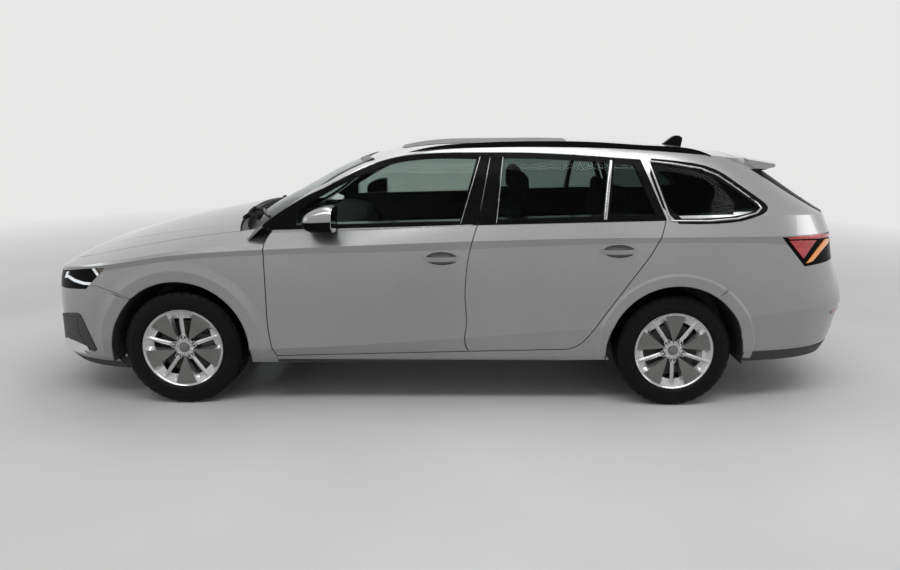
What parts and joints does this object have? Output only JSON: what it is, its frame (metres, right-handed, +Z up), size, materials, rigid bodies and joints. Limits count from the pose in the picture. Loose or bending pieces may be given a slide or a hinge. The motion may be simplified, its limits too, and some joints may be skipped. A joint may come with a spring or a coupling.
{
  "type": "station wagon",
  "caption": "Mid-size estate car with a sloping bonnet, side doors, an upright load space under a lifting tailgate, roof rails and spoked alloy road wheels.",
  "frame": {"origin": "on the ground under the middle of the car's length and width", "axes": "+X to the tail, -X to the nose, -Y the car's left side, +Z up"},
  "size_m": [4.6887, 2.0044, 1.4859],
  "materials": {
    "body_paint": "silver metallic clear coat",
    "underbody_steel": "matt black underbody coat",
    "tinted_glass": "green tinted",
    "black_plastic": "grained black",
    "lamp_lens": "clear lens over a black housing",
    "red_lens": "dark red lens",
    "gloss_black": "gloss black",
    "engine_metal": "cast",
    "seat_fabric": "dark woven",
    "wheel_alloy": "silver lacquer",
    "tyre_rubber": "black",
    "axle_iron": "bare"
  },
  "bodies": {
    "body": {"floor_pan": "underbody_steel", "side_frame_left": "body_paint", "side_frame_right": "body_paint", "front_fender_left": "body_paint", "front_fender_right": "body_paint", "windscreen": "tinted_glass", "roof": "body_paint", "cowl": "black_plastic", "front_bumper": "body_paint", "grille": "black_plastic", "headlamps": "lamp_lens", "tail_lamps": "red_lens", "rear_bumper": "body_paint", "quarter_glass": "tinted_glass", "roof_rails": "gloss_black", "roof_antenna": "gloss_black", "rear_axle": "underbody_steel", "front_subframe": "underbody_steel", "engine_block": "engine_metal", "exhaust": "underbody_steel", "dashboard": "black_plastic", "front_seats": "seat_fabric", "rear_seat": "seat_fabric", "rear_seat_back": "seat_fabric"},
    "bonnet": {"bonnet": "body_paint"},
    "tailgate": {"tailgate": "body_paint", "tailgate_glass": "tinted_glass"},
    "front_door_left": {"front_door_left": "body_paint", "front_door_glass_left": "tinted_glass", "door_mirror_left": "body_paint"},
    "front_door_right": {"front_door_right": "body_paint", "front_door_glass_right": "tinted_glass", "door_mirror_right": "body_paint"},
    "rear_door_left": {"rear_door_left": "body_paint", "rear_door_glass_left": "tinted_glass"},
    "rear_door_right": {"rear_door_right": "body_paint", "rear_door_glass_right": "tinted_glass"},
    "steering_wheel": {"steering_wheel": "black_plastic"},
    "knuckle_left": {"front_knuckle_left": "axle_iron"},
    "knuckle_right": {"front_knuckle_right": "axle_iron"},
    "front_wheel_left": {"front_rim_left": "wheel_alloy", "front_tyre_left": "tyre_rubber"},
    "front_wheel_right": {"front_rim_right": "wheel_alloy", "front_tyre_right": "tyre_rubber"},
    "rear_wheel_left": {"rear_rim_left": "wheel_alloy", "rear_tyre_left": "tyre_rubber"},
    "rear_wheel_right": {"rear_rim_right": "wheel_alloy", "rear_tyre_right": "tyre_rubber"}
  },
  "joints": [
    {"name": "bonnet_hinge", "type": "hinge", "parent": "body", "child": "bonnet", "pos_m": [-1.1225, 0, 0.99], "axis": [0, 1, 0], "range_deg": [0, 52]},
    {"name": "tailgate_hinge", "type": "hinge", "parent": "body", "child": "tailgate", "pos_m": [1.6275, 0, 1.3975], "axis": [0, -1, 0], "range_deg": [0, 82]},
    {"name": "front_door_left_hinge", "type": "hinge", "parent": "body", "child": "front_door_left", "pos_m": [-0.9355, -0.905, 0.6], "axis": [0, 0, -1], "range_deg": [0, 65]},
    {"name": "front_door_right_hinge", "type": "hinge", "parent": "body", "child": "front_door_right", "pos_m": [-0.9355, 0.905, 0.6], "axis": [0, 0, 1], "range_deg": [0, 65]},
    {"name": "rear_door_left_hinge", "type": "hinge", "parent": "body", "child": "rear_door_left", "pos_m": [0.1295, -0.907, 0.6], "axis": [0, 0, -1], "range_deg": [0, 65]},
    {"name": "rear_door_right_hinge", "type": "hinge", "parent": "body", "child": "rear_door_right", "pos_m": [0.1295, 0.907, 0.6], "axis": [0, 0, 1], "range_deg": [0, 65]},
    {"name": "steering_wheel_turn", "type": "hinge", "parent": "body", "child": "steering_wheel", "pos_m": [-0.4475, -0.37, 0.885], "axis": [0.9135, 0, 0.4067], "range_deg": [-480, 480]},
    {"name": "steer_left", "type": "hinge", "parent": "body", "child": "knuckle_left", "pos_m": [-1.4575, -0.7015, 0.316], "axis": [0, 0.225, 0.9744], "range_deg": [-32, 32]},
    {"name": "steer_right", "type": "hinge", "parent": "body", "child": "knuckle_right", "pos_m": [-1.4575, 0.7015, 0.316], "axis": [0, -0.225, 0.9744], "range_deg": [-32, 32]},
    {"name": "front_wheel_left_spin", "type": "hinge", "parent": "knuckle_left", "child": "front_wheel_left", "pos_m": [-1.4575, -0.7715, 0.316], "axis": [0, 1, 0], "continuous": true},
    {"name": "front_wheel_right_spin", "type": "hinge", "parent": "knuckle_right", "child": "front_wheel_right", "pos_m": [-1.4575, 0.7715, 0.316], "axis": [0, 1, 0], "continuous": true},
    {"name": "rear_wheel_left_spin", "type": "hinge", "parent": "body", "child": "rear_wheel_left", "pos_m": [1.2285, -0.7715, 0.316], "axis": [0, 1, 0], "continuous": true},
    {"name": "rear_wheel_right_spin", "type": "hinge", "parent": "body", "child": "rear_wheel_right", "pos_m": [1.2285, 0.7715, 0.316], "axis": [0, 1, 0], "continuous": true}
  ],
  "couplings": [
    {"joint": "steer_left", "follows": "steering_wheel_turn", "ratio": 0.066667},
    {"joint": "steer_right", "follows": "steering_wheel_turn", "ratio": 0.066667}
  ]
}
